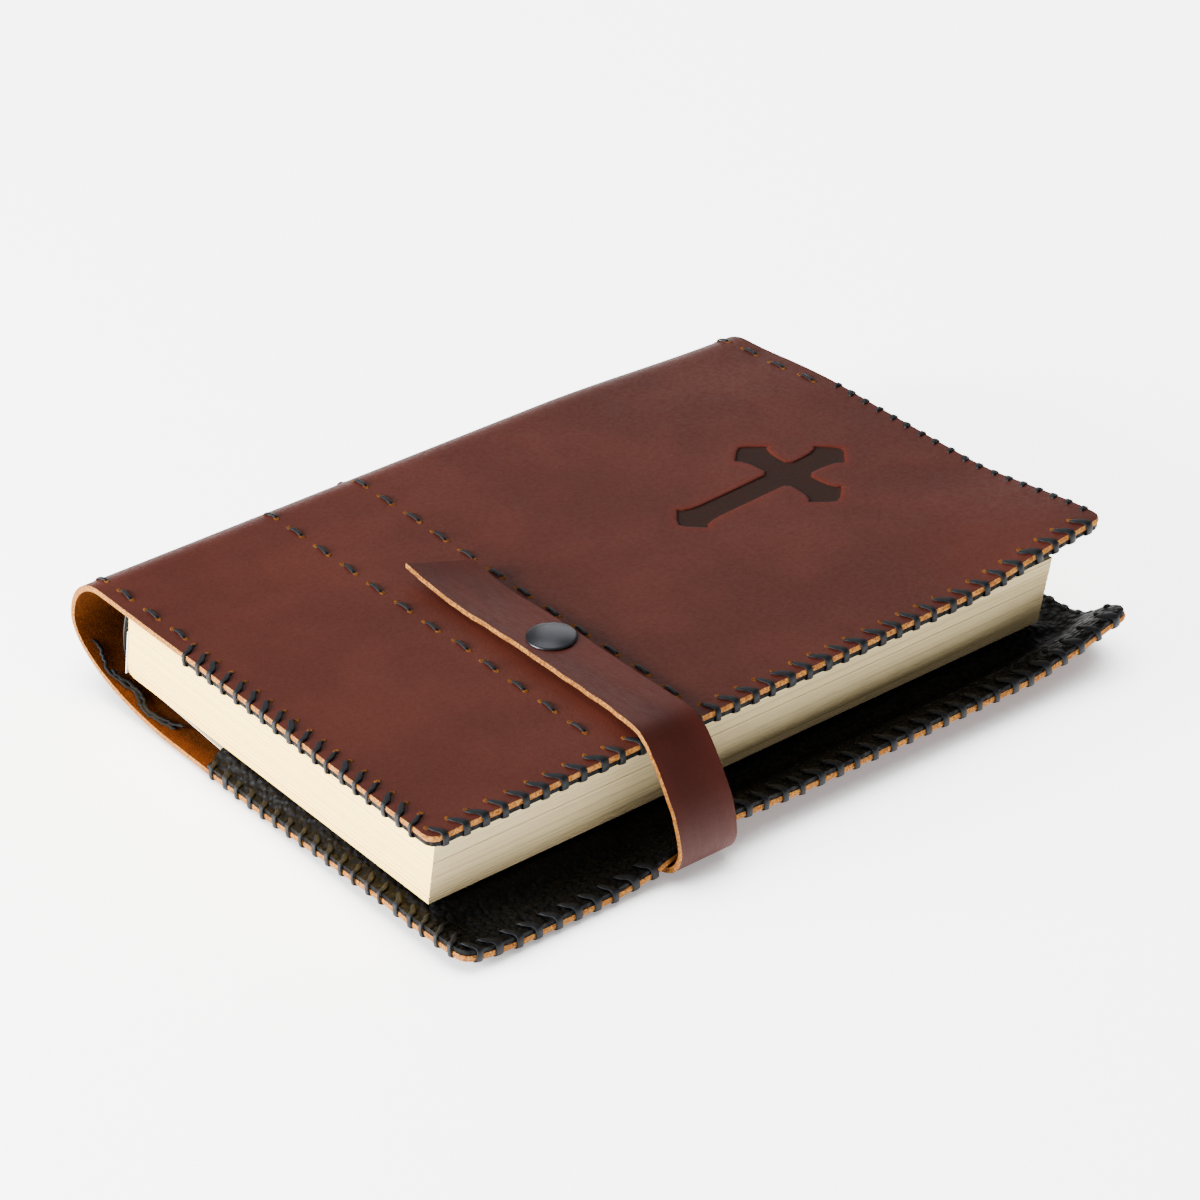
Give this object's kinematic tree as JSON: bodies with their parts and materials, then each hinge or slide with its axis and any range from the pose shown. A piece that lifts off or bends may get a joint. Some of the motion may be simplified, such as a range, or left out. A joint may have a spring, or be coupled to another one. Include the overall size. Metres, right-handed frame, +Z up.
{
  "type": "prayer book in snap-strap leather cover",
  "caption": "Thick softcover prayer book in a hand-stitched leather slip cover, with inner pockets, a pressed cross, a wrap-over strap and a snap.",
  "frame": {"origin": "middle of the closed book's footprint, on the surface that it lies on", "axes": "+X from the spine to the fore-edge and the strap, +Y from the tail of the book to its head, +Z up through the front cover"},
  "size_m": [0.2038, 0.2502, 0.0437],
  "materials": {
    "cover_leather": "waxed pull-up leather, satin, cut edges left natural tan",
    "strap_leather": "waxed leather, satin, cut edges left natural tan",
    "pocket_leather": "pebbled black leather, semi-gloss",
    "waxed_thread": "flat waxed thread, satin",
    "paper": "uncoated cream paper, matt",
    "cover_card": "laminated card, glossy",
    "spine_glue": "binding glue, matt",
    "snap_metal": "gunmetal plated, satin"
  },
  "bodies": {
    "cover_and_block": {"back_leather": "cover_leather", "spine_leather": "cover_leather", "back_lining": "pocket_leather", "back_card": "cover_card", "spine_card": "cover_card", "spine_glue": "spine_glue", "text_block": "paper", "back_whipstitch": "waxed_thread", "spine_stitches": "waxed_thread", "strap_tail": "strap_leather", "strap_stitches": "waxed_thread"},
    "front": {"front_leather": "cover_leather", "front_lining": "pocket_leather", "front_card": "cover_card", "front_whipstitch": "waxed_thread", "front_running_stitches": "waxed_thread", "snap_stud": "snap_metal", "snap_eyelet": "snap_metal"},
    "leaves_1": {"leaf_section_1": "paper"},
    "leaves_2": {"leaf_section_2": "paper"},
    "leaves_3": {"leaf_section_3": "paper"},
    "leaves_4": {"leaf_section_4": "paper"},
    "strap_riser": {"strap_riser": "strap_leather"},
    "strap_tongue": {"strap_tongue": "strap_leather", "snap_cap": "snap_metal", "snap_socket": "snap_metal"}
  },
  "joints": [
    {"name": "front_cover_hinge", "type": "hinge", "parent": "cover_and_block", "child": "front", "pos_m": [-0.0845, 0, 0.037], "axis": [0, -1, 0], "range_deg": [0, 190], "deforming": ["spine_leather", "spine_stitches"]},
    {"name": "leaves_1_turn", "type": "hinge", "parent": "cover_and_block", "child": "leaves_1", "pos_m": [-0.0775, 0, 0.0386], "axis": [0, -1, 0], "range_deg": [0, 178.65], "deforming": ["leaf_section_1"]},
    {"name": "leaves_2_turn", "type": "hinge", "parent": "cover_and_block", "child": "leaves_2", "pos_m": [-0.0775, 0, 0.0386], "axis": [0, -1, 0], "range_deg": [0, 171.05], "deforming": ["leaf_section_2"]},
    {"name": "leaves_3_turn", "type": "hinge", "parent": "cover_and_block", "child": "leaves_3", "pos_m": [-0.0775, 0, 0.0386], "axis": [0, -1, 0], "range_deg": [0, 159.65], "deforming": ["leaf_section_3"]},
    {"name": "leaves_4_turn", "type": "hinge", "parent": "cover_and_block", "child": "leaves_4", "pos_m": [-0.0775, 0, 0.0386], "axis": [0, -1, 0], "range_deg": [0, 17.15], "deforming": ["leaf_section_4"]},
    {"name": "strap_swing", "type": "hinge", "parent": "cover_and_block", "child": "strap_riser", "pos_m": [0.10094, -0.0415, 0.00581], "axis": [0, 1, 0], "range_deg": [0, 120], "deforming": ["strap_riser"]},
    {"name": "strap_tongue_lift", "type": "hinge", "parent": "strap_riser", "child": "strap_tongue", "pos_m": [0.08525, -0.0415, 0.0396], "axis": [0, 1, 0], "range_deg": [0, 60], "deforming": ["strap_tongue"]}
  ],
  "couplings": [
    {"joint": "leaves_1_turn", "follows": "front_cover_hinge", "ratio": 0.94},
    {"joint": "leaves_2_turn", "follows": "front_cover_hinge", "ratio": 0.9},
    {"joint": "leaves_3_turn", "follows": "front_cover_hinge", "ratio": 0.84},
    {"joint": "leaves_4_turn", "follows": "front_cover_hinge", "ratio": 0.09}
  ]
}
